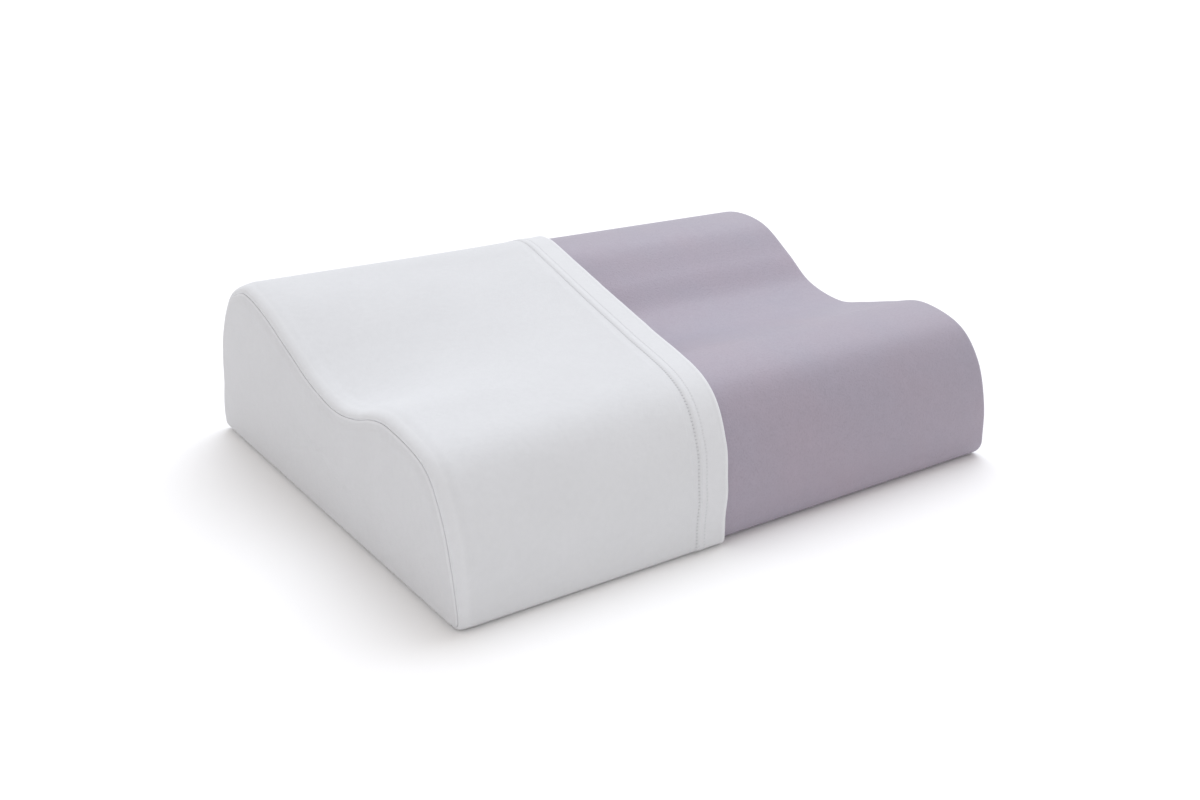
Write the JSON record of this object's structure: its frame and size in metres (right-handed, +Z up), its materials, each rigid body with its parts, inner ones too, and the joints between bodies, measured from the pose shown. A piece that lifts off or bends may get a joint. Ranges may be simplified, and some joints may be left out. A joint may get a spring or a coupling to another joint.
{
  "type": "contour bed pillow",
  "caption": "Contour memory-foam bed pillow with a high and a low lobe, its bare foam core half covered by a pull-off knitted cotton sleeve with a twin-needle hem.",
  "frame": {"origin": "middle of the underside, on the surface the pillow lies on", "axes": "+X along the pillow's length from the cover's closed end to the bare foam end, +Y from the low front lobe to the high back lobe, +Z up"},
  "size_m": [0.4826, 0.4184, 0.1513],
  "materials": {
    "foam": "lavender viscoelastic foam with a fine moulded skin, soft sheen",
    "knit": "white fine-gauge cotton jersey, matt",
    "knit_end": "white fine-gauge cotton jersey, matt",
    "knit_hem": "white fine-gauge cotton jersey, two layers, matt",
    "thread": "white spun polyester sewing thread"
  },
  "bodies": {
    "core": {"foam_core": "foam"},
    "cover": {"cover_wrap_panel": "knit", "cover_end_panel": "knit_end", "cover_hem_band": "knit_hem", "end_seam_thread": "thread", "hem_needle_thread_inner": "thread", "hem_needle_thread_outer": "thread", "hem_looper_thread": "thread", "closing_seam_thread": "thread"}
  },
  "joints": [
    {"name": "cover_pull_off", "type": "slide", "parent": "core", "child": "cover", "axis": [-1, 0, 0], "range_m": [0, 0.31]}
  ]
}
